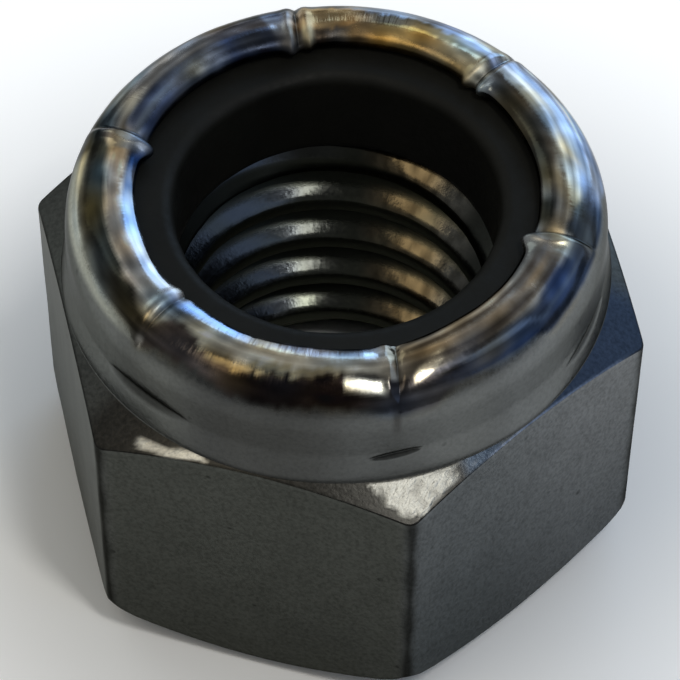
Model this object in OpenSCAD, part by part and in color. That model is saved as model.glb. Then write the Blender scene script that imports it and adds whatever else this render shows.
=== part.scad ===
// Hex lock nut with a captive plastic ring held under a crimped collar.
// Millimetres. The origin is the centre of the bearing face, and +Z runs up the screw axis
// towards the crimped collar. Two corners of the hexagon lie on the X axis.

/* [Thread] */
// Outside diameter of the screw that fits
screw_d = 9.525; // [9.4:0.005:9.6]
// Distance from one turn of the thread to the next
thread_pitch = 1.5875; // [1.5:0.0125:1.65]
// Diameter of the mouth that leads the screw in
mouth_d = 9.9; // [9.7:0.05:10.3]
// Diameter of the run-out where the thread meets the ring seat
runout_d = 8.8; // [8.5:0.05:9.2]

/* [Hexagon] */
// Distance across two opposite flats
across_flats = 14.29; // [14.2:0.01:14.4]
// Radius of the six upright edges
edge_r = 0.37; // [0.25:0.01:0.5]
// Diameter of the flat ring that bears on the work
bearing_d = 12.9; // [12.6:0.05:13.2]
// Slope of the turned chamfer under the corners, in degrees
foot_slope = 30; // [25:1:33]
// Radius that eases each upright edge into the foot chamfer
foot_r = 0.9; // [0.4:0.05:1.2]
// Height where the collar rises out of the hexagon
shoulder_z = 8.64; // [8.4:0.02:8.9]
// Slope of the turned facet on top of each corner, in degrees
shoulder_slope = 28; // [24:1:32]

/* [Collar] */
// Overall height of the nut
nut_h = 11.7; // [11.5:0.05:11.9]
// Diameter of the collar where it leaves the hexagon
collar_foot_d = 14.2; // [14.14:0.01:14.24]
// Diameter of the collar above its flared foot
collar_d = 13.86; // [13.8:0.02:13.94]
// Height at which the flared foot ends
flare_z = 9.52; // [9.4:0.02:9.7]
// Outer radius of the rolled crown
crown_r = 1.3; // [1.15:0.05:1.35]
// Taper of the collar wall on its radius, between the flare and the crown
wall_taper = 0.03; // [0:0.01:0.04]
// Diameter of the opening inside the rolled lip
lip_d = 10.18; // [10:0.02:10.24]
// Thickness of the lip where it presses on the ring
lip_t = 0.62; // [0.55:0.01:0.66]
// Diameter of the pocket that holds the ring
pocket_d = 12; // [11.8:0.05:12.1]
// Height of the pocket's floor, on which the ring sits
seat_z = 8.26; // [8.1:0.02:8.36]

/* [Crimps] */
// Depth of a crease where it is deepest
crease_depth = 0.3; // [0.2:0.01:0.34]
// Width of a crease at the surface where it is deepest
crease_w = 0.36; // [0.3:0.02:0.5]
// Radius of the arc that the bottom of a crease follows
crease_arc_r = 2.65; // [2.4:0.05:2.9]
// Direction of the deepest point, seen from the middle of the crown's arc, in degrees above level
crease_lean = 65; // [60:1:70]
// How far the bead of metal squeezed inwards at each crease stands inside the lip
nub_reach = 0.26; // [0.1:0.02:0.3]
// Depth of the slit mark at the top of the flare above each corner
mark_depth = 0.1; // [0.04:0.01:0.12]

/* [Ring] */
// Diameter of the plain hole in the plastic ring
ring_bore_d = 8.26; // [8.1:0.02:8.4]
// Radius on the ring's upper inner edge
ring_edge_r = 0.35; // [0.2:0.05:0.45]
// Width of the chamfer on the ring's lower inner edge
ring_chamfer = 0.15; // [0.1:0.05:0.25]
// Slack between the ring and the pocket wall, on the radius
ring_slack = 0.02; // [0.01:0.01:0.05]

/* [Hidden] */
$fn = 128;

// A nut's hole is this many pitches smaller than the screw, measured on the diameter.
depth_in_pitches = 1.0825;
minor_d = screw_d - depth_in_pitches * thread_pitch;
mouth_depth = (mouth_d - minor_d) / 2;
runout_depth = (runout_d - minor_d) / 2;

flat_r = across_flats / 2;
edge_centre = (flat_r - edge_r) / cos(30);
corner_r = edge_centre + edge_r;
// The turned blank is this much wider than the corners, so that only its two cones touch them.
blank_clear = 0.05;
blank_r = corner_r + blank_clear;
bearing_r = bearing_d / 2;
foot_z = (blank_r - bearing_r) * tan(foot_slope);
foot_turn = 90 - foot_slope;
foot_tangent = foot_r * tan(foot_turn / 2);
shoulder_drop = (blank_r - collar_foot_d / 2) * tan(shoulder_slope);

collar_r = collar_d / 2 - wall_taper;
crown_x = collar_r - crown_r;
crown_z = nut_h - crown_r;
lip_r = lip_d / 2 + lip_t / 2;
lip_z = nut_h - lip_t / 2;
// The pocket's upper corner is rounded all the way from its wall to the start of the lip.
pocket_r = pocket_d / 2 - lip_r;
pocket_top = nut_h - lip_t;
pocket_bend_z = pocket_top - pocket_r;

arc_steps = 8;
edge_steps = 6;
// Creases and their beads, one above each corner
crimps = 6;
// Angle swept by the cutter of a crease, and how far it stands proud of the surface
crease_sweep = 84;
crease_above = 0.3;
// The bead is a ball that just fits inside the lip's thickness.
nub_r = lip_t / 2 - 0.01;
// Radius of the disc that bites the slit marks, and the width of its bevelled rim
disc_r = 9;
disc_bevel = 0.6;
// Depth to which the collar is sunk into the hexagon, so that the two fuse
bite = 0.6;
// How far a cut or a blank runs past the faces it has to clear
beyond = 1;

function arc(x, y, r, from, to, steps = arc_steps) =
    [for (i = [0 : steps]) let (a = from + (to - from) * i / steps) [x + r * cos(a), y + r * sin(a)]];

// Outline of the hexagon, with each corner a short arc
function hex_outline() =
    [for (k = [0 : 5]) each arc(edge_centre * cos(60 * k), edge_centre * sin(60 * k),
                                edge_r, 60 * k - 30, 60 * k + 30, edge_steps)];

// Half section of the turned blank: bearing face, foot chamfer, upright side, shoulder facet and pocket floor
function blank_section() = concat(
    [[0, 0], [bearing_r, 0]],
    arc(blank_r - foot_r, foot_z + foot_tangent, foot_r, -foot_turn, 0),
    [[blank_r, shoulder_z - shoulder_drop], [collar_foot_d / 2, shoulder_z],
     [pocket_d / 2, shoulder_z], [pocket_d / 2, seat_z], [0, seat_z]]);

// Section of the collar's wall, rolled crown and rounded lip, and the pocket inside them
function collar_section() = concat(
    [[pocket_d / 2, shoulder_z - bite], [collar_foot_d / 2 - bite, shoulder_z - bite],
     [collar_foot_d / 2 - bite, shoulder_z], [collar_foot_d / 2, shoulder_z],
     [collar_d / 2, flare_z]],
    arc(crown_x, crown_z, crown_r, 0, 90),
    arc(lip_r, lip_z, lip_t / 2, 90, 270),
    arc(lip_r, pocket_bend_z, pocket_r, 90, 0));

// Section of the plastic ring, its outer shoulder rolled under the lip
function ring_section() = concat(
    [[ring_bore_d / 2 + ring_chamfer, seat_z], [pocket_d / 2 - ring_slack, seat_z]],
    arc(lip_r - ring_slack, pocket_bend_z, pocket_r, 0, 90),
    arc(ring_bore_d / 2 + ring_edge_r, pocket_top - ring_edge_r, ring_edge_r, 90, 180),
    [[ring_bore_d / 2, seat_z + ring_chamfer]]);

module hexagon() {
    intersection() {
        translate([0, 0, -beyond])
            linear_extrude(height = shoulder_z + 2 * beyond) polygon(hex_outline());
        rotate_extrude() polygon(blank_section());
    }
}

module collar() {
    rotate_extrude() polygon(collar_section());
}

module bore() {
    translate([0, 0, -beyond]) cylinder(d = minor_d, h = seat_z + 2 * beyond);
    translate([0, 0, -mouth_depth])
        cylinder(r1 = mouth_d / 2 + mouth_depth, r2 = minor_d / 2, h = 2 * mouth_depth);
    translate([0, 0, seat_z - runout_depth])
        cylinder(r1 = minor_d / 2, r2 = runout_d / 2 + runout_depth, h = 2 * runout_depth);
}

// A vee that crosses the lip and the crown on a flatter arc than theirs, and so runs out on the wall
module crease() {
    cutter_r = crease_arc_r + crease_depth + crease_above;
    cutter_w = crease_w / 2 * (crease_depth + crease_above) / crease_depth;
    offset_r = crease_arc_r + crease_depth - crown_r;
    translate([crown_x - offset_r * cos(crease_lean), 0, crown_z - offset_r * sin(crease_lean)])
        rotate([90, 0, 0]) rotate([0, 0, crease_lean - crease_sweep / 2])
            rotate_extrude(angle = crease_sweep)
                polygon([[crease_arc_r, 0], [cutter_r, cutter_w], [cutter_r, -cutter_w]]);
}

// The bead of metal pushed inwards where two stretches of lip meet
module nub() {
    translate([lip_d / 2 - nub_reach + nub_r, 0, lip_z]) sphere(r = nub_r, $fn = 32);
}

// A thin disc with a bevelled rim, which bites a crescent into the wall at the top of the flare
module corner_mark() {
    flat_part_r = disc_r - disc_bevel;
    translate([collar_d / 2 + disc_r - mark_depth, 0, flare_z])
        rotate_extrude() polygon([[0, -disc_bevel], [flat_part_r, -disc_bevel], [disc_r, 0],
                                  [flat_part_r, disc_bevel], [0, disc_bevel]]);
}

module around_corners() {
    for (k = [0 : crimps - 1]) rotate([0, 0, k * 360 / crimps]) children();
}

module nut_body() {
    color([0.62, 0.63, 0.63]) difference() {
        union() {
            hexagon();
            collar();
            around_corners() nub();
        }
        bore();
        around_corners() crease();
        around_corners() corner_mark();
    }
}

module insert_ring() {
    color([0.16, 0.16, 0.16]) rotate_extrude() polygon(ring_section());
}

nut_body();
insert_ring();
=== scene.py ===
"""A hex lock nut with a plastic ring held under its crimped collar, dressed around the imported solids."""

import math

import bmesh
import bpy
import numpy as np
from mathutils import Matrix, Vector


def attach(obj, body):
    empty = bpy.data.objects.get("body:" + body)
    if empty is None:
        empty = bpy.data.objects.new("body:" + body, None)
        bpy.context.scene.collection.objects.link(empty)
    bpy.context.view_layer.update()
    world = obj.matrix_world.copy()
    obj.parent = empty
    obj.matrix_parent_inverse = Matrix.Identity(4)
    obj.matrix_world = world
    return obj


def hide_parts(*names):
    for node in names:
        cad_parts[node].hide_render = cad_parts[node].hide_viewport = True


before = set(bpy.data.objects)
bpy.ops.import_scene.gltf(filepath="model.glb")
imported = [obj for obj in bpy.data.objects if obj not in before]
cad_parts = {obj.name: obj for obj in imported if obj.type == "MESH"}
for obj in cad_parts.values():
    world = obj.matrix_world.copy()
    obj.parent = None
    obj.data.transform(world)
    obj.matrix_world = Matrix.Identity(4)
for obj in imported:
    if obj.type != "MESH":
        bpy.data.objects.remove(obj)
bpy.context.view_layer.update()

MM = 0.001
TAU = 2 * math.pi

# Form of the nut, in millimetres, as in the part's source
FLAT_R, EDGE_R = 7.145, 0.37
EDGE_CENTRE = (FLAT_R - EDGE_R) / math.cos(math.radians(30))
CORNER_R = EDGE_CENTRE + EDGE_R
# The turned blank is this much wider than the corners.
BLANK_CLEAR = 0.05
BLANK_R = CORNER_R + BLANK_CLEAR
BEARING_R, FOOT_SLOPE, FOOT_R = 6.45, math.tan(math.radians(30)), 0.9
FOOT_TANGENT = FOOT_R * math.tan(math.radians(30))
FOOT_CENTRE = (BLANK_R - FOOT_R, (BLANK_R - BEARING_R) * FOOT_SLOPE + FOOT_TANGENT)
SHOULDER_Z, SHOULDER_SLOPE = 8.64, math.tan(math.radians(28))
FOOT_RING_R, WALL_R, FLARE_Z = 7.1, 6.93, 9.52
NUT_H, CROWN_R, CROWN_X, CROWN_Z = 11.7, 1.3, 5.6, 10.4
LIP_R, LIP_ROUND, LIP_Z = 5.4, 0.31, 11.39
POCKET_R, POCKET_ROUND, SEAT_Z = 6.0, 0.6, 8.26
POCKET_BEND_Z, WALL_TAPER = 10.48, 0.03
MOUTH_R, RUNOUT_R = 4.95, 4.4
PITCH, CREST_R, ROOT_R = 1.5875, 3.903, 4.7625
# One crest of the thread passes this azimuth at this height, and rises with the azimuth.
CREST_AT, CREST_Z = math.radians(106.5), 7.75
# The dressed crown lies this much under the solid's, which leaves room for its raised creases.
CROWN_SINK = 0.04
# Grid columns round the outer side, the bore and the ring
OUTER_COUNT, BORE_COUNT, RING_COUNT = 560, 270, 288


def smoothstep(x, lo, hi):
    t = np.clip((x - lo) / (hi - lo), 0, 1)
    return t * t * (3 - 2 * t)


def bump_of(x, width):
    return np.exp(-(x / width) ** 2)


def turned(angle):
    """An angle brought to between minus and plus half a turn."""
    return (angle + math.pi) % TAU - math.pi


def from_corner(theta):
    """Angle between an azimuth and the nearest corner of the hexagon."""
    return np.abs((theta + math.pi / 6) % (math.pi / 3) - math.pi / 6)


def arc_points(x, z, r, start, end, count):
    """Points of an arc about (x, z), between two angles in degrees."""
    return [(x + r * math.cos(math.radians(t)), z + r * math.sin(math.radians(t)))
            for t in np.linspace(start, end, count)]


class Ripple:
    """Smooth noise over azimuth and a length, without a seam at the full turn."""

    def __init__(self, seed, turns, length, count=40):
        rng = np.random.default_rng(seed)
        self.m = np.round(rng.uniform(-1, 1, count) * turns)
        self.q = rng.uniform(-1, 1, count) * TAU / length
        self.p = rng.uniform(0, TAU, count)
        self.k = math.sqrt(2 / count)

    def __call__(self, theta, s):
        total = np.zeros(np.broadcast(theta, s).shape)
        for m, q, p in zip(self.m, self.q, self.p):
            total += np.cos(m * theta + q * s + p)
        return total * self.k


# ---- outline of the hexagon and of the turned section

def hexagon_radius(theta):
    off = from_corner(theta)
    flat = FLAT_R / np.cos(math.pi / 6 - off)
    inside = np.maximum(EDGE_R ** 2 - (EDGE_CENTRE * np.sin(off)) ** 2, 0)
    edge = EDGE_CENTRE * np.cos(off) + np.sqrt(inside)
    tangent = math.atan2(EDGE_R * 0.5, EDGE_CENTRE + EDGE_R * math.cos(math.pi / 6))
    return np.where(off < tangent, edge, flat)


def foot_height(r):
    cone = (r - BEARING_R) * FOOT_SLOPE
    x = np.clip(r - FOOT_CENTRE[0], 0, FOOT_R)
    arc = FOOT_CENTRE[1] - np.sqrt(FOOT_R ** 2 - x ** 2)
    meets = FOOT_CENTRE[0] + FOOT_R * 0.5
    return np.where(r < meets, cone, arc)


def shoulder_height(r):
    return SHOULDER_Z - (r - FOOT_RING_R) * SHOULDER_SLOPE


# Spacing of the points along the collar's section. The break at the top of its flared foot is eased within this
# length to each side, over a window of so many points. The lip is looked for above this height.
PATH_STEP, FLARE_EASE, FLARE_WINDOW, LIP_ABOVE = 0.01, 0.5, 31, 11.2


def collar_path():
    """Points of the collar's section from its foot over the crown and lip to the seat, evenly spaced and eased."""
    pts = [(FOOT_RING_R, SHOULDER_Z), (WALL_R, FLARE_Z)]
    pts += arc_points(CROWN_X, CROWN_Z - CROWN_SINK, CROWN_R, 0, 90, 90)
    tall, wide = NUT_H - CROWN_SINK - LIP_Z, CROWN_X - LIP_R + LIP_ROUND
    pts += [(CROWN_X - wide * math.sin(t), LIP_Z + tall * math.cos(t)) for t in np.linspace(0, math.pi / 2, 60)]
    pts += arc_points(LIP_R, LIP_Z, LIP_ROUND, 180, 270, 30)
    pts += arc_points(LIP_R, POCKET_BEND_Z, POCKET_ROUND, 90, 0, 30)
    pts = np.array(pts + [(POCKET_R, SEAT_Z)])
    s = np.concatenate([[0], np.cumsum(np.hypot(*np.diff(pts, axis=0).T))])
    even = np.arange(0, s[-1], PATH_STEP)
    r, z = np.interp(even, s, pts[:, 0]), np.interp(even, s, pts[:, 1])
    near = np.abs(even - np.interp(FLARE_Z, pts[:3, 1], s[:3])) < FLARE_EASE
    kernel = np.hanning(FLARE_WINDOW)
    kernel /= kernel.sum()
    soft_r, soft_z = np.convolve(r, kernel, "same"), np.convolve(z, kernel, "same")
    return even, np.where(near, soft_r, r), np.where(near, soft_z, z)


PATH_S, PATH_R, PATH_Z = collar_path()
# Length along the section at the innermost point of the lip, and where the crown's arc starts
LIP_S = PATH_S[np.argmin(np.where(PATH_Z > LIP_ABOVE, PATH_R, np.inf))]
FLARE_S = math.hypot(FOOT_RING_R - WALL_R, FLARE_Z - SHOULDER_Z)
CROWN_S = FLARE_S + math.hypot(WALL_TAPER, CROWN_Z - CROWN_SINK - FLARE_Z)


# ---- creases

# Each crease: azimuth at the lip and at its outer end, in degrees; how far out it runs from the lip; its depth and
# half width; then pairs for its clockwise and anticlockwise sides: the ridge beside it, how far that side dips
# towards it, and how far the lip bends inwards there; and its beads as (azimuth offset in degrees, reach, half width).
CREASES = [
    dict(at=118.2, out=115.8, run=2.6, depth=0.12, half=0.10, ridge=(0.05, 0.05), dip=(0.05, 0.03), push=(0.10, 0.24),
         beads=[(2.6, 0.07, 0.17), (-3.6, 0.10, 0.13)]),
    dict(at=61.8, out=62.6, run=2.4, depth=0.14, half=0.11, ridge=(0.05, 0.05), dip=(0.02, 0.06), push=(0.07, 0.06),
         beads=[(3.2, 0.15, 0.17), (-2.4, 0.11, 0.16)]),
    dict(at=0.6, out=2.8, run=2.3, depth=0.06, half=0.13, ridge=(0.09, 0.0), dip=(0.0, 0.17), push=(0.05, 0.02),
         beads=[(-3.2, 0.13, 0.26)]),
    dict(at=-57.1, out=-60.8, run=2.5, depth=0.06, half=0.09, ridge=(0.04, 0.0), dip=(0.15, 0.15), push=(0.04, 0.02),
         beads=[(-3.6, 0.05, 0.24)]),
    dict(at=-120.1, out=-119.6, run=2.7, depth=0.06, half=0.09, ridge=(0.03, 0.0), dip=(0.02, 0.09), push=(0.03, 0.02),
         beads=[(-2.9, 0.03, 0.24), (2.4, 0.02, 0.14)]),
    dict(at=178.8, out=175.8, run=2.4, depth=0.06, half=0.13, ridge=(0.0, 0.09), dip=(0.17, 0.0), push=(0.02, 0.08),
         beads=[(3.4, 0.17, 0.25)]),
]
# The ridges beside a crease stand this far from its middle, and are this wide. Its dips, and the bend of the lip, die
# away sideways over this distance. It narrows by this part towards its outer end. Its beads reach this far along it.
RIDGE_AT, RIDGE_WIDTH, CREASE_SPREAD, CREASE_NARROWS, BEAD_LENGTH = 0.24, 0.15, 0.8, 0.4, 0.36


def mix(pair, w):
    return pair[0] * (1 - w) + pair[1] * w


def crease_shift(theta, s, r):
    """Displacement along the surface's normal, inward shift of the lip, how deep in a crease a point lies, and how
    near one it is."""
    out = LIP_S - s
    normal, inward, hollow, near = (np.zeros(np.broadcast(theta, s).shape) for _ in range(4))
    for c in CREASES:
        at, run, half = c["at"], c["run"], c["half"]
        along = np.clip(out / run, 0, 1)
        x = turned(theta - np.radians(at + (c["out"] - at) * along)) * r
        fade = smoothstep(out, -0.35, 0.2) * (1 - smoothstep(out, 0.35 * run, run))
        narrow = half * (1 - CREASE_NARROWS * smoothstep(out, 0.4 * run, run))
        vee = np.exp(-np.abs(x / narrow) ** 1.5)
        spread = np.exp(-np.abs(x) / CREASE_SPREAD)
        clockwise, other = c["ridge"]
        ridges = clockwise * bump_of(x + RIDGE_AT, RIDGE_WIDTH) + other * bump_of(x - RIDGE_AT, RIDGE_WIDTH)
        reach = smoothstep(out, -0.2, 0.3) * (1 - smoothstep(out, 0.9, 2.3))
        dip = mix(c["dip"], smoothstep(x, -0.14, 0.10))
        normal += fade * (ridges - c["depth"] * vee) - reach * dip * spread
        hollow = np.maximum(hollow, fade * np.exp(-np.abs(x / (0.8 * narrow)) ** 2))
        near = np.maximum(near, bump_of(x, 0.38) * smoothstep(out, -0.3, 0.0) * (1 - smoothstep(out, 0.8, 1.5)))
        inward += bump_of(out, 0.6) * mix(c["push"], smoothstep(x, -0.20, 0.20)) * spread
        for turn, far, width in c["beads"]:
            there = turned(theta - np.radians(at + turn)) * r
            inward += far * bump_of(there, width) * bump_of(out, BEAD_LENGTH)
    return normal, inward, hollow, near


# Slit marks on the wall, one above each corner: azimuth of its middle, half length in degrees, height, half height and
# depth; and how far each rises over its half length
MARKS = [(-61.0, 5.4, 9.43, 0.07, 0.08), (-116.6, 11.0, 9.50, 0.19, 0.065), (-7.5, 9.6, 9.31, 0.12, 0.07),
         (58.0, 6.0, 9.44, 0.07, 0.07), (118.0, 7.0, 9.42, 0.08, 0.07), (177.0, 8.0, 9.40, 0.08, 0.07)]
MARK_RISE = 0.05


def mark_depth(theta, z):
    depth = np.zeros(np.broadcast(theta, z).shape)
    for middle, half, height, tall, deep in MARKS:
        along = turned(theta - math.radians(middle)) / math.radians(half)
        lens = np.sqrt(np.maximum(0, 1 - along ** 2))
        across = (z - (height + MARK_RISE * along)) / (tall * lens + 1e-3)
        depth += deep * lens * np.exp(-np.abs(across) ** 2.4)
    return depth


# ---- grids

# What the creases add to the density of the outer grid's columns, and over how many degrees to each side of a corner
CREASE_DENSITY, DENSE_HALF = 4.6, 5.4
# Rows across the foot chamfer, and from the rim inwards across the shoulder facets, as parts of their width; rows
# beside the upper and lower edge of a flat, as distances from it; and how far the nearest row is eased inwards
FOOT_STEPS = (0, 0.03, 0.08, 0.2, 0.35, 0.5, 0.63, 0.74, 0.83, 0.9, 0.95, 0.985)
SHOULDER_STEPS = (0.985, 0.94, 0.86, 0.74, 0.6, 0.46, 0.33, 0.22, 0.13, 0.06, 0.02)
BESIDE_EDGE, EDGE_EASE = (0.02, 0.06, 0.14), 0.012
# Rows along the collar's section, as (from, to, count)
COLLAR_ROWS = [(0, 0.12, 3), (0.12, 0.5, 4), (0.5, 1.06, 16), (1.06, 1.7, 6), (1.7, LIP_S - 2.2, 4),
               (LIP_S - 2.2, LIP_S - 0.4, 26), (LIP_S - 0.4, LIP_S + 0.35, 13), (LIP_S + 0.35, LIP_S + 1.4, 8),
               (LIP_S + 1.4, PATH_S[-1], 3)]
# The dressing of the collar fades out past the lip between these lengths; its marks end at this length.
FADE_START, FADE_END, MARKS_END = LIP_S + 0.3, LIP_S + 0.55, 1.6
# The dressed collar stays this far below the nut's height.
TOP_CLEAR = 0.002


def outer_azimuths(count):
    """Azimuths of the outer grid, closest together at the creases."""
    fine = np.linspace(0, TAU, 20001)
    weight = 1 + CREASE_DENSITY * np.exp(-(np.degrees(from_corner(fine)) / DENSE_HALF) ** 4)
    total = np.concatenate([[0], np.cumsum((weight[1:] + weight[:-1]) / 2)])
    return np.interp(np.arange(count) / count * total[-1], total, fine)


def spaced(parts):
    """Numbers through (start, end, count) parts, each part's end left to the next."""
    return np.concatenate([np.linspace(a, b, n, endpoint=False) for a, b, n in parts])


def outer_grid():
    """Azimuths of the outer grid, and the radius, height, zone and length along the collar's section of its rows."""
    theta = outer_azimuths(OUTER_COUNT)
    hexagon = hexagon_radius(theta)
    foot_z, shoulder_z = foot_height(hexagon), shoulder_height(hexagon)
    rows = []

    def row(r, z, zone, s=0.0):
        rows.append((np.broadcast_to(r, theta.shape).astype(float), np.broadcast_to(z, theta.shape).astype(float),
                     zone, s))

    for t in FOOT_STEPS:
        r = BEARING_R + (hexagon - BEARING_R) * t
        row(r, foot_height(r), "foot")
    eased = [hexagon - EDGE_EASE, hexagon, hexagon]
    for r, d in zip(eased, BESIDE_EDGE):
        row(r, foot_z + d, "flat")
    for t in np.linspace(0.04, 0.96, 13):
        row(hexagon, foot_z + (shoulder_z - foot_z) * t, "flat")
    for r, d in zip(eased[::-1], BESIDE_EDGE[::-1]):
        row(r, shoulder_z - d, "flat")
    for t in SHOULDER_STEPS:
        r = FOOT_RING_R + (hexagon - FOOT_RING_R) * t
        row(r, shoulder_height(r), "shoulder")
    for s in spaced(COLLAR_ROWS):
        row(np.interp(s, PATH_S, PATH_R), np.interp(s, PATH_S, PATH_Z), "collar", s)
    row(POCKET_R, SEAT_Z, "collar", PATH_S[-1])
    r, z, zone, s = (np.array(values) for values in zip(*rows))
    return theta, r, z, zone, s[:, None]


def stretch(theta, low, high, soft=4):
    """One between two azimuths in degrees, zero outside them, with soft ends."""
    middle, half = math.radians((low + high) / 2), (high - low) / 2
    off = np.degrees(np.abs(turned(theta - middle)))
    return 1 - smoothstep(off, half - soft, half + soft)


def drawn(theta):
    """Where the rolling has drawn the metal into fine lines across the lip."""
    return np.maximum(stretch(theta, -114, -72, 6), stretch(theta, 66, 116, 6))


def dress_outer(theta, r, z, zone, s):
    """Radii and heights of the outer grid with its creases, marks and small unevenness; also how deep in a crease each
    point lies, how near one it is, and how deep in a mark."""
    th = np.broadcast_to(theta, r.shape)
    collar, on_flat = ((zone == name)[:, None] for name in ("collar", "flat"))
    path_nr, path_nz = np.gradient(PATH_Z), -np.gradient(PATH_R)
    size = np.hypot(path_nr, path_nz)
    nr, nz = np.interp(s, PATH_S, path_nr / size), np.interp(s, PATH_S, path_nz / size)
    normal, inward, hollow, near = crease_shift(th, s, r)
    seen = collar & (s < FADE_END)
    kept = np.where(seen, 1 - smoothstep(s, FADE_START, FADE_END), 0)
    mark = mark_depth(th, z) * (collar & (s < MARKS_END))
    wobble = (Ripple(3, 9, 6)(th, s) * 0.008 + Ripple(5, 90, 1.0)(th, s) * 0.0010 * (0.2 + drawn(th))
              + Ripple(6, 30, 1.3)(th, s) * 0.0028)
    lip_wave = Ripple(8, 14, 4)(th, s) * 0.014 + Ripple(9, 110, 3)(th, s) * 0.006 * drawn(th)
    move = kept * normal - mark + smoothstep(s, 1.9, 2.6) * kept * wobble * 0.8
    r2 = r + move * nr - kept * inward + bump_of(LIP_S - s, 0.5) * kept * lip_wave
    z2 = z + move * nz
    z2 = np.where(collar, np.minimum(z2, NUT_H - TOP_CLEAR), z2)
    uneven = Ripple(12, 40, 3)(th, z) * 0.0035 + Ripple(13, 14, 8)(th, z) * 0.006
    r2 = r2 - on_flat * np.abs(uneven)
    return r2, z2, np.where(seen, hollow, 0), np.where(seen, near, 0), mark


# The thread's form, in pitches: half of its crest, and the run of its flank; and how far its corners are eased, in mm
CREST_HALF, FLANK_RUN, THREAD_EASE = 0.125, 0.3125, 0.10
# Rows nearer than this to the seat or the bearing face merge with it.
END_GAP = 1e-4


def above_zero(x):
    """A length where it is positive and zero elsewhere, eased between them."""
    return (x + np.sqrt(x ** 2 + THREAD_EASE ** 2)) / 2


def thread_radius(off):
    """Radius at a distance from a crest, in pitches, with the crest's and the root's corners eased."""
    rise = above_zero((off - CREST_HALF) / FLANK_RUN * (ROOT_R - CREST_R))
    return ROOT_R - above_zero(ROOT_R - CREST_R - rise)


def thread_rows():
    """Row places within one pitch, from a crest, and the thread's radius there."""
    half = np.array([0, 0.07, 0.105, 0.135, 0.19, 0.26, 0.33, 0.40, 0.43, 0.455])
    part = np.concatenate([half, [0.5], 1 - half[:0:-1]])
    return part, thread_radius(np.minimum(part, 1 - part))


def bore_mesh(first):
    """The bore, its vertices numbered from first: the thread on a helical grid, cut off at the seat and the bearing
    face. Returns vertices, faces, where it is lit, its rings of vertices at the seat and the mouth, and azimuths."""
    theta = np.arange(BORE_COUNT) / BORE_COUNT * TAU
    part, radius = thread_rows()
    n = len(part)
    turns = int(math.ceil(SEAT_Z / PITCH)) + 2
    low = CREST_Z - PITCH * turns
    zeta = np.concatenate([low + PITCH * (k + part) for k in range(turns + 2)])
    base_r = np.tile(radius, turns + 2)
    z = zeta[:, None] + PITCH * ((theta - CREST_AT) / TAU)[None, :]
    th = np.broadcast_to(theta, z.shape)
    ragged = Ripple(21, 50, 2)(th, z) * 0.003 + Ripple(22, 12, 4)(th, z) * 0.006
    r = np.broadcast_to(base_r[:, None], z.shape) + ragged * (base_r[:, None] < CREST_R + 0.1)
    flank = np.tile(part, turns + 2)
    lit = smoothstep(flank, 0.09, 0.16) * (1 - smoothstep(flank, 0.25, 0.37))
    lit = np.broadcast_to(lit[:, None], z.shape)
    mouth, runout = MOUTH_R - z, RUNOUT_R - (SEAT_Z - z)
    r = np.maximum(r, np.maximum(mouth, runout))
    above, below = z >= SEAT_Z - END_GAP, z <= END_GAP
    inner = ~(above | below)
    index = np.full(z.shape, -1)
    index[inner] = first + np.arange(inner.sum())
    top0 = first + int(inner.sum())
    bottom0 = top0 + BORE_COUNT
    column = np.broadcast_to(np.arange(BORE_COUNT), z.shape)
    index[above] = top0 + column[above]
    index[below] = bottom0 + column[below]
    at_seat = (SEAT_Z - CREST_Z) / PITCH - (theta - CREST_AT) / TAU
    seat_r = np.maximum(RUNOUT_R, thread_radius(np.abs((at_seat + 0.5) % 1 - 0.5)))
    end_rings = [np.stack([rr * np.cos(theta), rr * np.sin(theta), np.full(BORE_COUNT, zz)], 1)
                 for rr, zz in ((seat_r, SEAT_Z), (MOUTH_R, 0.0))]
    verts = np.concatenate([np.stack([(r * np.cos(th))[inner], (r * np.sin(th))[inner], z[inner]], 1), *end_rings])
    lit_at = np.concatenate([lit[inner], np.zeros(2 * BORE_COUNT)])
    faces = []
    rows = z.shape[0]
    for i in range(BORE_COUNT):
        k = (i + 1) % BORE_COUNT
        shift = n if k == 0 else 0
        for j in range(rows - 1):
            if j + 1 + shift >= rows:
                break
            quad = [index[j, i], index[j + 1, i], index[j + 1 + shift, k], index[j + shift, k]]
            face = [q for m, q in enumerate(quad) if q != quad[m - 1]]
            if len(set(face)) > 2:
                faces.append(face)
    return verts, faces, lit_at, np.arange(top0, bottom0), np.arange(bottom0, bottom0 + BORE_COUNT), theta


def grid_faces(rows, columns):
    faces = []
    for j in range(rows - 1):
        a = j * columns
        for i in range(columns):
            k = (i + 1) % columns
            faces.append([a + i, a + k, a + columns + k, a + columns + i])
    return faces


def zip_rings(ring_a, theta_a, ring_b, theta_b):
    """Triangles between two closed rings of different counts, walked round together by azimuth."""
    faces, i, j = [], 0, 0
    na, nb = len(ring_a), len(ring_b)
    ta, tb = (np.concatenate([t, [t[0] + TAU]]) for t in (theta_a, theta_b))
    while i < na or j < nb:
        if j >= nb or (i < na and ta[i + 1] <= tb[j + 1]):
            faces.append([ring_a[i % na], ring_a[(i + 1) % na], ring_b[j % nb]])
            i += 1
        else:
            faces.append([ring_a[i % na], ring_b[(j + 1) % nb], ring_b[j % nb]])
            j += 1
    return faces


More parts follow.
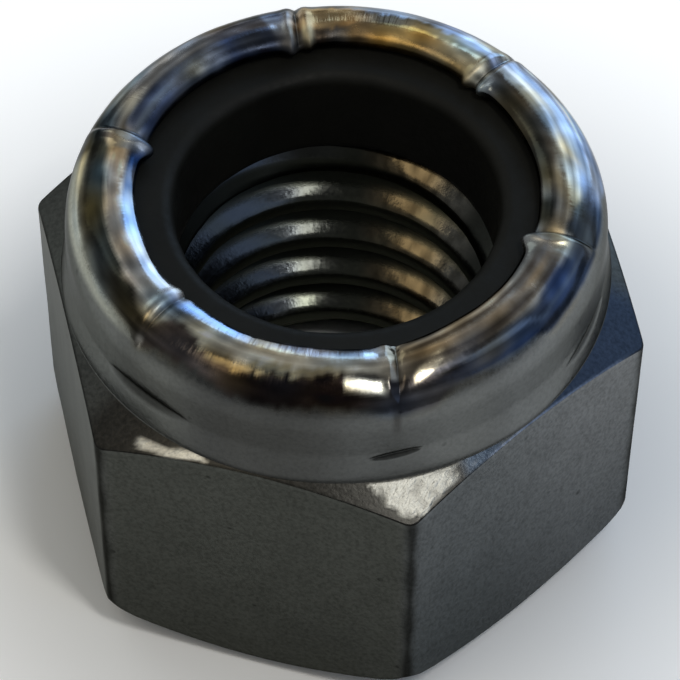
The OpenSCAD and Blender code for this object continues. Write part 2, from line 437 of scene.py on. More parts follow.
def mesh_object(name, verts, faces, attributes):
    mesh = bpy.data.meshes.new(name)
    mesh.from_pydata((np.asarray(verts) * MM).tolist(), [], faces)
    for key, values in attributes.items():
        kind = "FLOAT_COLOR" if values.shape[1] == 4 else "FLOAT_VECTOR"
        layer = mesh.attributes.new(key, kind, "POINT")
        layer.data.foreach_set("color" if kind == "FLOAT_COLOR" else "vector", values.astype(np.float32).ravel())
    mesh.shade_smooth()
    obj = bpy.data.objects.new(name, mesh)
    bpy.context.scene.collection.objects.link(obj)
    return obj


def outward(obj):
    bm = bmesh.new()
    bm.from_mesh(obj.data)
    bmesh.ops.recalc_face_normals(bm, faces=bm.faces)
    bm.to_mesh(obj.data)
    bm.free()


# ---- colours of the steel, in linear light

FLAT_COLOUR = (0.105, 0.108, 0.102)
WALL_COLOUR = (0.070, 0.072, 0.070)
FACET_COLOUR = (0.078, 0.081, 0.077)
# Torn steel, painted bright partly as bare metal and partly as a highlight; brighter still on the left facet's streak
TORN_AND_HIGHLIGHT_COLOUR, TORN_LEFT_HIGHLIGHT_COLOUR = (0.42, 0.415, 0.38), (0.84, 0.82, 0.74)
# Painted highlight along the line where the wall turns into the crown
RIM_HIGHLIGHT_COLOUR = (0.43, 0.44, 0.37)
# A pale painted highlight along the brim of the shoulder facets, at the right
BRIM_HIGHLIGHT_COLOUR = (0.17, 0.20, 0.26)
# A darker line down the wall below the front crease
WALL_LINE_COLOUR = (0.026, 0.023, 0.021)
# A painted near-black reflection beside the front crease
DARK_REFLECTION_COLOUR = (0.013, 0.012, 0.013)
# Painted shade and dark reflections: creases, marks, pocket, collar foot, corner edges and brim
SHADE_COLOUR = (0.010, 0.010, 0.009)
# The thread's unlit parts, painted in a colour of their own apart from its lit flanks
UNLIT_THREAD_COLOUR = (0.056, 0.061, 0.047)
DARKEST, BRIGHTEST = 0.01, 0.88

# Soft tints round the nut that paint light, shade and reflections into the steel, each as (from, to, colour), with the
# azimuths in degrees: on the flats, on the shoulder facets (with the softness of its ends), and on the collar's wall
FLAT_LIGHT_TINTS = [(181, 239, (0.195, 0.200, 0.188)), (-119, -61, (0.069, 0.072, 0.064)), (-60, -1, (0.092, 0.102, 0.106))]
# The front right flat grows lighter upwards and to the right, towards this colour, as painted light.
LIT_FLAT_GRADIENT = (-60, -1, (0.195, 0.202, 0.206))
FACET_LIGHT_TINTS = [(-125, -40, 3, (0.040, 0.039, 0.036)), (-26, 10, 4, (0.042, 0.056, 0.082)),
               (-47, -38, 2, (0.060, 0.078, 0.105))]
WALL_LIGHT_TINTS = [(182, 238, (0.125, 0.130, 0.122)), (-122, -104, (0.104, 0.107, 0.098)),
              (-104, -72, (0.058, 0.059, 0.056)), (-72, -58, (0.088, 0.091, 0.088)),
              (-58, -38, (0.115, 0.119, 0.115)), (-38, 40, (0.138, 0.144, 0.143)), (-22, 20, (0.150, 0.156, 0.153)),
              (40, 182, (0.10, 0.10, 0.10))]
# The same on the outer shoulder of the crown, on its top and on the lip, where the tints paint reflections as well as
# the plating's colour
BAND_REFLECTION_TINTS = [(-180, 180, (0.058, 0.054, 0.050)), (-118, -95, (0.078, 0.065, 0.060)),
              (-95, -64, (0.0140, 0.0112, 0.0115)), (-64, -56, (0.030, 0.028, 0.030)),
              (-56, -34, (0.072, 0.074, 0.084)), (-34, -20, (0.040, 0.048, 0.062)), (-20, 0, (0.038, 0.056, 0.100)),
              (0, 16, (0.055, 0.070, 0.092)), (16, 33, (0.26, 0.31, 0.40)), (33, 47, (0.66, 0.75, 0.90)),
              (47, 61, (0.40, 0.46, 0.58)), (61, 84, (0.27, 0.31, 0.42)), (84, 105, (0.42, 0.43, 0.44)),
              (105, 117, (0.19, 0.175, 0.15)), (120, 142, (0.092, 0.090, 0.085)), (142, 158, (0.16, 0.155, 0.15)),
              (158, 173, (0.20, 0.20, 0.17)), (173, 238, (0.042, 0.043, 0.037))]
TOP_REFLECTION_TINTS = [(-180, 180, (0.28, 0.27, 0.25)), (182, 222, (0.74, 0.61, 0.46)), (222, 232, (0.58, 0.52, 0.44)),
             (232, 240, (0.34, 0.34, 0.30)), (-119, -112, (0.080, 0.085, 0.080)), (-112, -102, (0.72, 0.73, 0.63)),
             (-102, -62, (0.62, 0.57, 0.45)), (-56, -20, (0.18, 0.165, 0.14)), (-20, 0, (0.28, 0.29, 0.30)),
             (0, 12, (0.28, 0.26, 0.22)), (12, 24, (0.42, 0.41, 0.36)), (24, 58, (0.135, 0.120, 0.095)),
             (62, 80, (0.16, 0.125, 0.060)), (80, 100, (0.12, 0.085, 0.050)), (100, 117, (0.62, 0.38, 0.16)),
             (120, 142, (0.20, 0.19, 0.20)), (142, 158, (0.29, 0.29, 0.29)), (158, 170, (0.36, 0.34, 0.31)),
             (170, 179, (0.060, 0.055, 0.050))]
LIP_REFLECTION_TINTS = [(-180, 180, (0.42, 0.41, 0.39)), (182, 193, (0.02, 0.04, 0.09)), (193, 201, (0.10, 0.15, 0.26)),
             (201, 214, (0.44, 0.54, 0.68)), (214, 239, (0.62, 0.64, 0.70)), (-119, -97, (0.44, 0.56, 0.78)),
             (-97, -74, (0.34, 0.34, 0.39)), (-74, -60, (0.17, 0.165, 0.16)), (-56, 0, (0.34, 0.30, 0.24)),
             (2, 16, (0.030, 0.030, 0.025)), (16, 58, (0.062, 0.060, 0.048)), (62, 80, (0.62, 0.52, 0.32)),
             (80, 98, (0.72, 0.51, 0.21)), (98, 106, (0.22, 0.155, 0.080)), (106, 117, (0.080, 0.056, 0.036)),
             (121, 142, (0.046, 0.062, 0.110)), (142, 158, (0.15, 0.185, 0.25)), (158, 178, (0.10, 0.12, 0.18))]
# Where the wall's colour gives way to the outer band, and that to the top, in degrees up the crown's arc, as
# (from, to, degrees) round the nut; and how far the lip's colour reaches out from the lip
BAND_STARTS = [(-180, 180, 23), (-118, -98, 40), (-98, -64, 33), (-50, -22, 40), (-22, 20, 33), (20, 60, 16),
               (176, 238, 42)]
TOP_STARTS = [(-180, 180, 60), (-119, -107, 79), (-107, -98, 61), (-98, -83, 67), (-83, -62, 73), (-57, -46, 66),
              (-46, 0, 70), (0, 14, 77), (14, 24, 65), (24, 58, 78), (58, 72, 80), (72, 100, 67), (140, 158, 50),
              (182, 226, 79), (226, 234, 73), (234, 240, 62)]
LIP_REACHES = [(-180, 180, 0.53), (62, 104, 0.70), (104, 117, 0.45), (121, 178, 0.80), (184, 200, 0.42)]
# A painted highlight line where the wall turns into the crown, at the left: azimuths, and there its height in degrees
# up the arc, its half width and its strength
RIM_HIGHLIGHT_LINE = ((184, 188, 210, 217, 230, 240), (37, 37, 36.5, 37.5, 35, 34), (15, 15, 10.5, 11, 7.5, 6),
            (0.0, 1.0, 1.0, 1.0, 0.95, 0.0))
# Painted reflections in thin lines along the crown, as (what they follow, from, to, distance from it, half width,
# strength, colour): gold along the foot of the front's pale top and tan along the right's, navy and pale along the
# front right's band, pale beside the lip at the back left, and pale blue on the outside at the back right. They follow
# the foot of the top or of the band, or the start of the arc, in degrees up the arc; or the lip, in millimetres
# outwards.
REFLECTED_LINES = [("top", -106, -72, 3, 5, 0.8, (0.34, 0.27, 0.135)), ("top", 24, 59, -4, 6, 0.8, (0.50, 0.42, 0.30)),
              ("band", -46, 10, 3, 3, 0.8, (0.020, 0.030, 0.055)), ("band", -44, -2, 19, 3, 0.6, (0.16, 0.19, 0.23)),
              ("lip", 158, 178, 0.46, 0.10, 0.8, (0.42, 0.45, 0.48)), ("arc", 61, 75, 58, 14, 0.85, (0.54, 0.66, 0.86))]
# Fine stripes that the rolling has left beside the lip, front right, painted as light and dark reflections: distance
# from the lip, half width and colour
ROLLED_STRIPES_AND_GLINTS = [(0.16, 0.07, (0.07, 0.065, 0.055)), (0.34, 0.07, (0.62, 0.56, 0.46)), (0.50, 0.08, (0.12, 0.095, 0.075)),
           (0.72, 0.12, (0.40, 0.33, 0.25)), (0.98, 0.10, (0.13, 0.12, 0.12))]
# Painted reflections and shade beside the creases, as (from, to, distance out from the lip, half height, colour)
CREASE_LIGHT_PATCHES = [(120.6, 124.6, 0.95, 0.34, (0.50, 0.60, 0.80)), (113.6, 117.0, 0.36, 0.36, (0.50, 0.42, 0.26)),
           (-66.0, -60.9, 0.42, 0.22, (0.66, 0.76, 0.90)), (-4.6, 1.2, 1.02, 0.20, (0.30, 0.37, 0.46)),
           (-2.2, 2.2, 0.28, 0.42, (0.085, 0.085, 0.075)), (179.6, 184.4, 0.60, 0.26, (0.40, 0.46, 0.54)),
           (-123.0, -120.6, 1.45, 0.16, (0.016, 0.016, 0.015)), (57.0, 60.6, 0.12, 0.24, (0.40, 0.39, 0.33)),
           (-120.7, -119.3, 1.86, 0.13, (0.42, 0.42, 0.40)), (-122.6, -119.4, 0.86, 0.40, (0.15, 0.145, 0.120))]
# Painted highlights beside the front crease, which hold the lamp's reflections to their shape, as (from, to, degrees up
# the arc at each end, half height, colour)
HIGHLIGHT_PATCHES = [(-71.6, -62.2, 63.5, 54.0, 9.0, (0.56, 0.55, 0.48)), (-55.2, -47.2, 60.0, 77.0, 6.5, (0.84, 0.81, 0.70))]
# Torn patches on the shoulder facets, painted bright partly as bare steel and partly as a highlight: azimuth from and
# to, and inner and outer radius; the outer limit of the one at the front corner, and the course of the torn line on the
# left facet, as azimuths and radii
TORN = [(50, 64, 7.2, 7.9), (112, 131, 7.3, 7.8)]
FRONT_TORN_LIMIT = ((-67.5, -61.3, -55), (7.08, 7.97, 7.97))
LEFT_TORN_LINE = ((-115, -101), (7.55, 7.16))
# Painted reflections on the thread's lit flanks round the bore, bluish and warm in stretches, as (from, to, colour)
FLANK_REFLECTION_TINTS = [(-180, 180, (0.024, 0.025, 0.023)), (92, 108, (0.020, 0.021, 0.017)),
                (108, 126, (0.0185, 0.0195, 0.018)), (126, 178, (0.050, 0.058, 0.070)),
                (58, 92, (0.084, 0.066, 0.040)), (48, 64, (0.110, 0.108, 0.096)), (10, 48, (0.030, 0.032, 0.028))]


def paint(base, weight, colour):
    w = np.clip(np.broadcast_to(weight, base.shape[:-1]), 0, 1)[..., None]
    return base * (1 - w) + np.array(colour) * w


def paint_round(base, th, tints, soft):
    """Paint a (from, to, colour) table round the nut. A row that goes all the way round is the ground."""
    for low, high, tint in tints:
        base = paint(base, 1.0 if high - low == 360 else stretch(th, low, high, soft), tint)
    return base


def round_the_nut(th, table):
    """Values of a (from, to, value) table at each azimuth, blended where they meet; the first row is the ground."""
    value = np.zeros(th.shape) + table[0][2]
    for low, high, there in table[1:]:
        w = stretch(th, low, high, 4)
        value = value * (1 - w) + there * w
    return value


def torn_patches(th, r):
    """How torn the steel of the shoulder facets is at each point."""
    frayed = Ripple(41, 60, 0.5)(th, r) * 1.6
    patchy = smoothstep(Ripple(43, 110, 0.35)(th, r), -2.2, -0.2)
    degrees, ragged = np.degrees(turned(th)), th + np.radians(frayed)
    limit = np.minimum(hexagon_radius(th) - 0.12, np.interp(degrees, *FRONT_TORN_LIMIT))
    torn = (stretch(ragged, -67.5, -48, 1.5) * smoothstep(r, 7.11, 7.16)
            * (1 - smoothstep(r + frayed * 0.03, limit - 0.05, limit + 0.05)))
    line = np.interp(degrees, *LEFT_TORN_LINE) + frayed * 0.015
    torn = np.maximum(torn, stretch(ragged, -115, -102, 1.5) * np.exp(-((r - line) / 0.10) ** 4))
    for low, high, inner, outer in TORN:
        torn = np.maximum(torn, stretch(ragged, low, high, 2.5)
                          * smoothstep(r + frayed * 0.02, inner - 0.02, inner + 0.06)
                          * (1 - smoothstep(r + frayed * 0.03, outer - 0.1, outer + 0.04)))
    return torn * (0.4 + 0.6 * patchy)


def collar_looks(th, s):
    """Colour of the collar, with painted reflections: its wall, the dark outer band of the crown, its top and the lip.
    Also how shiny and mottled it is, and where it has painted highlights."""
    turn = np.degrees((s - CROWN_S) / CROWN_R)
    jagged = Ripple(44, 150, 2.0)(th, s) * (0.5 + 1.8 * drawn(th)) + Ripple(45, 26, 2.0)(th, s) * 2.5
    jagged = jagged * (1 - 0.7 * stretch(th, 183, 238, 4))
    above_band, above_top = (turn - round_the_nut(th, table) for table in (BAND_STARTS, TOP_STARTS))
    rises = above_band + 0.6 * jagged
    band = smoothstep(rises, -5, 5)
    top = smoothstep(above_top + jagged, -5, 5)
    lip = smoothstep(s - LIP_S + round_the_nut(th, LIP_REACHES) + 0.010 * jagged, -0.09, 0.09)
    # The wall's colour, with painted light and shade round the nut
    col = paint_round(np.zeros(th.shape + (3,)) + np.array(WALL_COLOUR), th, WALL_LIGHT_TINTS, 8)
    # A painted highlight line where the wall turns into the crown
    line_at, half, strength = (np.interp(np.degrees(th), RIM_HIGHLIGHT_LINE[0], row) for row in RIM_HIGHLIGHT_LINE[1:])
    rim = strength * np.exp(-np.abs((turn - line_at + 0.3 * jagged) / half) ** 3)
    # Painted reflections, with the plating's colour, over the band, the top and the lip
    for weight, tints in ((band, BAND_REFLECTION_TINTS), (top, TOP_REFLECTION_TINTS), (lip, LIP_REFLECTION_TINTS)):
        over = paint_round(np.zeros(th.shape + (3,)), th, tints, 5)
        col = col * (1 - weight[..., None]) + over * weight[..., None]
    col = paint(col, 0.9 * rim, RIM_HIGHLIGHT_COLOUR)
    follows = {"top": above_top + jagged, "band": above_band + 0.3 * jagged, "arc": turn, "lip": LIP_S - s}
    # Thin painted reflection lines along the crown
    for what, low, high, far, width, strong, tint in REFLECTED_LINES:
        col = paint(col, strong * stretch(th, low, high, 4) * bump_of(follows[what] - far, width), tint)
    # A painted darker reflection over a stretch of the front, and a darker line down the wall below the front crease
    col = col * (1 - 0.68 * stretch(th, -107, -88, 5) * bump_of(turn - 61, 10))[..., None]
    col = paint(col, 0.6 * (stretch(th, -61.6, -60.0, 0.6) * bump_of(turn - 18, 22)), WALL_LINE_COLOUR)
    # Beside the front crease, a painted near-black reflection and two painted highlights
    col = paint(col, stretch(th, -57, -43, 3) * bump_of(turn - 54, 12), DARK_REFLECTION_COLOUR)
    mottle_at = Ripple(50, 120, 0.4)(th, s)
    highlighted = np.zeros(th.shape)
    # The painted highlights beside the front crease
    for low, high, start, end, tall, tint in HIGHLIGHT_PATCHES:
        middle = start + (end - start) * (np.degrees(turned(th)) - low) / (high - low)
        patch = stretch(th + np.radians(0.25 * jagged), low, high, 0.9) * np.exp(-np.abs((turn - middle) / tall) ** 4)
        col = paint(col, patch * (1 + 0.15 * mottle_at), tint)
        highlighted = highlighted + patch
    # Painted reflections and shade beside the creases
    for low, high, out, tall, tint in CREASE_LIGHT_PATCHES:
        patch = stretch(th + np.radians(0.2 * jagged), low, high, 0.8) * bump_of(LIP_S - s - out, tall)
        col = paint(col, 0.9 * patch, tint)
    from_lip = LIP_S - s + 0.004 * jagged
    # The rolled stripes, painted as light and dark reflections
    for middle, width, tint in ROLLED_STRIPES_AND_GLINTS:
        col = paint(col, 0.85 * stretch(th, -55, -6, 5) * bump_of(from_lip - middle, width), tint)
    # The lip's inner edge is painted darker at the back, as shade.
    inner = smoothstep(s, LIP_S - 0.42, LIP_S - 0.12) * stretch(th, 62, 184, 4)
    col = col * (1 - 0.78 * inner)[..., None]
    # Mottled plating on the crown
    shine = smoothstep(rises, -12, 6)
    mottle = Ripple(46, 32, 0.7)(th, s) * 0.15 + Ripple(47, 70, 0.4)(th, s) * 0.12
    warm = Ripple(48, 26, 1.1)(th, s) * shine
    rolled_lines = Ripple(49, 7, 0.20)(th, s) * 0.22 * (1 - 0.6 * drawn(th))
    col = col * np.exp((mottle + rolled_lines) * shine)[..., None]
    col = col * np.stack([1 + 0.10 * warm, np.ones(th.shape), 1 - 0.16 * warm], -1)
    return col, shine, mottle, highlighted


def steel_looks(theta, r, z, zone, s, hollow, near, mark):
    """Colour of each outer point, with its painted light and shade, and its finish: roughness, grain and streak."""
    th = np.broadcast_to(theta, r.shape)
    shoulder, collar, flat, foot = (np.broadcast_to((zone == name)[:, None], r.shape)
                                    for name in ("shoulder", "collar", "flat", "foot"))
    # Painted light on the flats: darker at the front left, lighter at the front right and the back left
    col = paint_round(np.zeros(r.shape + (3,)) + np.array(FLAT_COLOUR), th, FLAT_LIGHT_TINTS, 2)
    low, high, tint = LIT_FLAT_GRADIENT
    slope = smoothstep(np.degrees(turned(th)), -52, -6) * 0.6 + 0.4 * smoothstep(z, 1, 8)
    col = paint(col, stretch(th, low, high, 2) * slope, tint)
    col = paint(col, shoulder, FACET_COLOUR)
    # Painted shade and bluish painted reflections on the shoulder facets
    for low, high, soft, tint in FACET_LIGHT_TINTS:
        col = paint(col, shoulder * stretch(th, low, high, soft), tint)
    # Torn patches painted bright, partly bare steel and partly a painted highlight
    torn = torn_patches(th, r) * shoulder
    col = paint(col, torn, TORN_AND_HIGHLIGHT_COLOUR)
    col = paint(col, 0.9 * torn * stretch(th, -118, -95, 2), TORN_LEFT_HIGHLIGHT_COLOUR)
    collar_col, shine, mottle, highlighted = collar_looks(th, s)
    col = np.where(collar[..., None], np.clip(collar_col, DARKEST, BRIGHTEST), col)
    # The facets are rougher where torn, and the collar is smoother and less grainy where it shines.
    rough = np.where(shoulder, 0.36 + 0.08 * torn, 0.46)
    rough = np.where(collar, 0.33 - 0.15 * shine + 0.2 * mottle * shine, rough)
    rolled = smoothstep(s, LIP_S - 0.5, LIP_S - 0.2) * stretch(th, 60, 184, 3)
    rough = rough + (0.09 * highlighted + 0.20 * rolled + 0.24 * near * (1 - stretch(th, -70, -45, 3))) * collar
    grain = np.where(collar, 0.6 - 0.45 * shine, 1.0)
    streak = np.where(shoulder, 0.1 + 0.9 * torn, 0.0)
    streak = np.where(collar, 0.08 + 0.04 * shine + 0.16 * shine * drawn(th), streak)
    # Painted shade in the creases, the marks, the pocket and at the collar's foot, and painted dark reflections along
    # the corner edges
    foot_line = bump_of(s - 0.02, 0.07) * collar * (1 - 0.7 * stretch(th, 150, 250, 10))
    dark = np.clip(0.8 * hollow ** 1.5 + np.clip(mark / 0.05, 0, 1) * 0.85 + 0.7 * foot_line, 0, 1)
    pocket = collar * smoothstep(s, LIP_S + 0.2, LIP_S + 0.45)
    hexagon = hexagon_radius(th)
    corner = (flat | foot) * bump_of(np.degrees(from_corner(th)) + 0.25 * np.sin(3 * z), 1.1) * 0.85
    # The brim of the shoulder facets gets painted shade too, but a pale painted highlight at the right.
    brim = shoulder * smoothstep(r, hexagon - 0.07, hexagon - 0.02) * 0.6
    pale = stretch(th, -42, -4, 3)
    col = paint(col, 1.4 * brim * pale, BRIM_HIGHLIGHT_COLOUR)
    brim = brim * (1 - pale)
    # All the painted shade and dark reflections, in one dark colour
    col = paint(col, np.maximum(np.maximum(dark * 0.85, pocket * 0.8), np.maximum(corner, brim)), SHADE_COLOUR)
    return col, np.stack([rough, grain, streak], -1)


# ---- the nut's body

# Mean radii of the outer side and of the bore, which turn azimuths into lengths for the streaks
MEAN_R, BORE_MEAN_R = 6.5, 4.2

theta, r, z, zone, s = outer_grid()
r2, z2, hollow, near, mark = dress_outer(theta, r, z, zone, s)
colour, finish = steel_looks(theta, r, z, zone, s, hollow, near, mark)
outer_rows, columns = r2.shape
th = np.broadcast_to(theta, r2.shape)
outer = np.stack([r2 * np.cos(th), r2 * np.sin(th), z2], -1).reshape(-1, 3)
bore, bore_faces, lit_at, seat_ring, mouth_ring, bore_theta = bore_mesh(len(outer))
faces = grid_faces(outer_rows, columns) + bore_faces
faces += zip_rings(np.arange(columns), theta, mouth_ring, bore_theta)
faces += zip_rings(np.arange((outer_rows - 1) * columns, outer_rows * columns), theta, seat_ring, bore_theta)

bore_th, bore_z = np.arctan2(bore[:, 1], bore[:, 0]), bore[:, 2]
lit_variation = Ripple(61, 22, 1.1)(bore_th, bore_z)
# Painted light on the thread: lit flanks take the painted reflections, unlit roots and crests another colour, and
# nothing is lit near the bearing face
lit_share = np.clip((0.06 + 0.94 * lit_at) * (1 + 0.16 * lit_variation), 0, 1) * smoothstep(bore_z, 0.9, 1.5)
# Noise breaks up the painted warm reflection on the thread, and its unlit parts are painted darker near the seat, as
# shade under the ring.
patchy_noise = Ripple(62, 85, 0.28)(bore_th, bore_z)
broken = smoothstep(patchy_noise, -1.2, 1.6) * 0.7 * stretch(bore_th, 52, 94, 8)
bore_tint = paint_round(np.zeros((len(bore), 3)), bore_th, FLANK_REFLECTION_TINTS, 8) * (1.15 - broken)[:, None]
root = np.array(UNLIT_THREAD_COLOUR) * (1 - 0.8 * smoothstep(bore_z, 7.1, 7.5))[:, None]
bore_colour = root * (1 - lit_share[:, None]) + bore_tint * lit_share[:, None]
bore_finish = np.stack([0.50 - 0.36 * lit_at, np.full(len(bore), 0.35), np.full(len(bore), 0.05)], 1)
tint = np.concatenate([colour.reshape(-1, 3), bore_colour])
tint = np.concatenate([tint, np.ones((len(tint), 1))], 1)
# Length round the nut and length along the section, which the streaks follow
askew = np.broadcast_to((zone == "shoulder")[:, None], th.shape)
around = np.where(askew, th * MEAN_R + 0.9 * r2, th * MEAN_R)
along = np.where(askew, 5 * r2, np.broadcast_to(s, th.shape))
flow = np.concatenate([np.stack([around, along, z2], -1).reshape(-1, 3),
                       np.stack([bore_th * BORE_MEAN_R, bore_z, bore_z], 1)])
body = mesh_object("nut_body_dressed", np.concatenate([outer, bore]), faces,
                   {"tint": tint, "finish": np.concatenate([finish.reshape(-1, 3), bore_finish]), "flow": flow})
outward(body)


# ---- the plastic ring

RING_BORE, RING_TOP, RING_OUT, RING_EDGE, RING_CHAMFER = 4.13, 11.08, 5.98, 0.35, 0.15


def ring_mesh(count):
    theta = np.arange(count) / count * TAU
    pts = [(RING_BORE + RING_CHAMFER, SEAT_Z), (5.0, SEAT_Z), (RING_OUT, SEAT_Z), (RING_OUT, 9.6)]
    pts += arc_points(RING_OUT - POCKET_ROUND, RING_TOP - POCKET_ROUND, POCKET_ROUND, 0, 90, 9)
    pts += [(r, RING_TOP) for r in (5.2, 5.0, 4.85, 4.7, 4.58)]
    pts += arc_points(RING_BORE + RING_EDGE, RING_TOP - RING_EDGE, RING_EDGE, 90, 180, 14)
    pts += [(RING_BORE, h) for h in np.linspace(10.6, SEAT_Z + RING_CHAMFER, 14)]
    r, z = (np.repeat(column[:, None], count, 1) for column in np.array(pts).T)
    th = np.broadcast_to(theta, r.shape)
    inside = smoothstep(-r, -5.35, -4.9)
    r = r + inside * (Ripple(31, 7, 5)(th, z) * 0.014 + Ripple(32, 40, 1.6)(th, z) * 0.003)
    z = z - inside * smoothstep(z, 10.9, 11.05) * np.abs(Ripple(33, 8, 5)(th, r)) * 0.02
    verts = np.stack([r * np.cos(th), r * np.sin(th), z], -1).reshape(-1, 3)
    faces = grid_faces(len(pts), count)
    last = (len(pts) - 1) * count
    faces += [[last + i, last + (i + 1) % count, (i + 1) % count, i] for i in range(count)]
    return verts, faces


ring_verts, ring_faces = ring_mesh(RING_COUNT)
ring = mesh_object("insert_ring_dressed", ring_verts, ring_faces, {})
outward(ring)


# ---- materials

def node(tree, kind, at, **values):
    n = tree.nodes.new(kind)
    n.location = at
    for key, value in values.items():
        if key in n.inputs:
            n.inputs[key].default_value = value
        else:
            setattr(n, key, value)
    return n


def map_range(tree, at, value, from_min, from_max, to_min, to_max, **values):
    n = node(tree, "ShaderNodeMapRange", at, **values, **{"From Min": from_min, "From Max": from_max,
                                                          "To Min": to_min, "To Max": to_max})
    tree.links.new(value, n.inputs["Value"])
    return n.outputs[0]


def steel():
    mat = bpy.data.materials.new("zinc_plated_steel")
    mat.use_nodes = True
    t = mat.node_tree
    bsdf = t.nodes["Principled BSDF"]
    bsdf.inputs["Metallic"].default_value = 1.0
    bsdf.inputs["Specular Tint"].default_value = (0.45, 0.45, 0.44, 1)
    tint = node(t, "ShaderNodeAttribute", (-1400, 300), attribute_name="tint")
    finish = node(t, "ShaderNodeAttribute", (-1400, 0), attribute_name="finish")
    flow = node(t, "ShaderNodeAttribute", (-1400, -500), attribute_name="flow")
    parts = node(t, "ShaderNodeSeparateXYZ", (-1200, 0))
    t.links.new(finish.outputs["Vector"], parts.inputs[0])
    place = node(t, "ShaderNodeTexCoord", (-1400, -250))
    fine = node(t, "ShaderNodeTexNoise", (-1000, -100), Scale=9000.0, Detail=3.0, Roughness=0.6)
    blotch = node(t, "ShaderNodeTexNoise", (-1000, -350), Scale=900.0, Detail=2.0, Roughness=0.5)
    for n in (fine, blotch):
        t.links.new(place.outputs["Object"], n.inputs["Vector"])
    scaled = node(t, "ShaderNodeMapping", (-1200, -600), Scale=(7.0, 0.7, 0.0))
    t.links.new(flow.outputs["Vector"], scaled.inputs["Vector"])
    streaks = node(t, "ShaderNodeTexNoise", (-1000, -600), Scale=1.0, Detail=3.0, Roughness=0.6)
    t.links.new(scaled.outputs["Vector"], streaks.inputs["Vector"])

    def maths(op, a, b, at):
        m = node(t, "ShaderNodeMath", at, operation=op)
        for i, v in enumerate((a, b)):
            if isinstance(v, (int, float)):
                m.inputs[i].default_value = v
            else:
                t.links.new(v, m.inputs[i])
        return m.outputs[0]

    # Colour: darker specks by grain, and broad soft blotches
    spread = map_range(t, (-800, -100), fine.outputs["Fac"], 0.32, 0.62, 0.72, 1.08)
    soft = map_range(t, (-800, -350), blotch.outputs["Fac"], 0.3, 0.7, 0.95, 1.06)
    less = maths("SUBTRACT", spread, 1.0, (-600, -100))
    specks = maths("MULTIPLY", less, parts.outputs["Y"], (-450, -100))
    shade = maths("MULTIPLY", maths("ADD", specks, 1.0, (-300, -100)), soft, (-150, -100))
    # Sparse dark pits where the grain is strong
    cells = node(t, "ShaderNodeTexVoronoi", (-1000, -850), Scale=1800.0)
    t.links.new(place.outputs["Object"], cells.inputs["Vector"])
    lot = node(t, "ShaderNodeSeparateColor", (-800, -1000))
    t.links.new(cells.outputs["Color"], lot.inputs["Color"])
    size = maths("MULTIPLY", maths("SUBTRACT", lot.outputs["Red"], 0.62, (-650, -1000)), 0.5, (-500, -1000))
    depth = maths("MULTIPLY", maths("SUBTRACT", size, cells.outputs["Distance"], (-350, -900)), 14.0, (-300, -900))
    inside = maths("MINIMUM", maths("MAXIMUM", depth, 0.0, (-250, -900)), 1.0, (-220, -900))
    pits = maths("MULTIPLY", maths("MULTIPLY", inside, parts.outputs["Y"], (-200, -900)), 0.35, (-50, -900))
    shade = maths("SUBTRACT", shade, pits, (0, -100))
    mul = node(t, "ShaderNodeVectorMath", (0, 200), operation="SCALE")
    t.links.new(tint.outputs["Color"], mul.inputs[0])
    t.links.new(shade, mul.inputs["Scale"])
    t.links.new(mul.outputs[0], bsdf.inputs["Base Color"])
    # Roughness varies with the fine noise
    vary = maths("MULTIPLY", maths("SUBTRACT", fine.outputs["Fac"], 0.5, (-600, 100)), 0.22, (-450, 100))
    t.links.new(maths("ADD", parts.outputs["X"], vary, (-300, 100)), bsdf.inputs["Roughness"])
    # Relief: grain, and streaks that run across the crown
    grit = maths("MULTIPLY", fine.outputs["Fac"], parts.outputs["Y"], (-600, -450))
    lines = maths("MULTIPLY", streaks.outputs["Fac"], parts.outputs["Z"], (-600, -600))
    bump_a = node(t, "ShaderNodeBump", (-300, -450), Strength=0.25, Distance=0.00003)
    t.links.new(grit, bump_a.inputs["Height"])
    bump_b = node(t, "ShaderNodeBump", (-100, -600), Strength=0.5, Distance=0.00005)
    t.links.new(lines, bump_b.inputs["Height"])
    t.links.new(bump_a.outputs[0], bump_b.inputs["Normal"])
    t.links.new(bump_b.outputs[0], bsdf.inputs["Normal"])
    return mat


def nylon():
    mat = bpy.data.materials.new("dark_nylon")
    mat.use_nodes = True
    t = mat.node_tree
    bsdf = t.nodes["Principled BSDF"]
    bsdf.inputs["Specular IOR Level"].default_value = 0.15
    place = node(t, "ShaderNodeTexCoord", (-1000, 0))
    fine = node(t, "ShaderNodeTexNoise", (-800, 100), Scale=5000.0, Detail=4.0, Roughness=0.65)
    broad = node(t, "ShaderNodeTexNoise", (-800, -150), Scale=600.0, Detail=2.0)
    for n in (fine, broad):
        t.links.new(place.outputs["Object"], n.inputs["Vector"])
    ramp = node(t, "ShaderNodeValToRGB", (-550, -150))
    ramp.color_ramp.elements[0].position, ramp.color_ramp.elements[1].position = 0.3, 0.7
    ramp.color_ramp.elements[0].color = (0.0041, 0.0041, 0.0031, 1)
    ramp.color_ramp.elements[1].color = (0.0071, 0.0071, 0.0054, 1)
    t.links.new(broad.outputs["Fac"], ramp.inputs[0])
    t.links.new(ramp.outputs[0], bsdf.inputs["Base Color"])
    rough = map_range(t, (-550, 100), fine.outputs["Fac"], 0.3, 0.7, 0.50, 0.66)
    t.links.new(rough, bsdf.inputs["Roughness"])
    bump = node(t, "ShaderNodeBump", (-300, -350), Strength=0.25, Distance=0.00002)
    t.links.new(fine.outputs["Fac"], bump.inputs["Height"])
    t.links.new(bump.outputs[0], bsdf.inputs["Normal"])
    return mat


body.data.materials.append(steel())
ring.data.materials.append(nylon())
for piece, cad, slot in ((body, "nut_body", "zinc_plated_steel"), (ring, "insert_ring", "dark_nylon")):
    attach(piece, "root")
    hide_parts(cad)


# ---- floor, light and camera

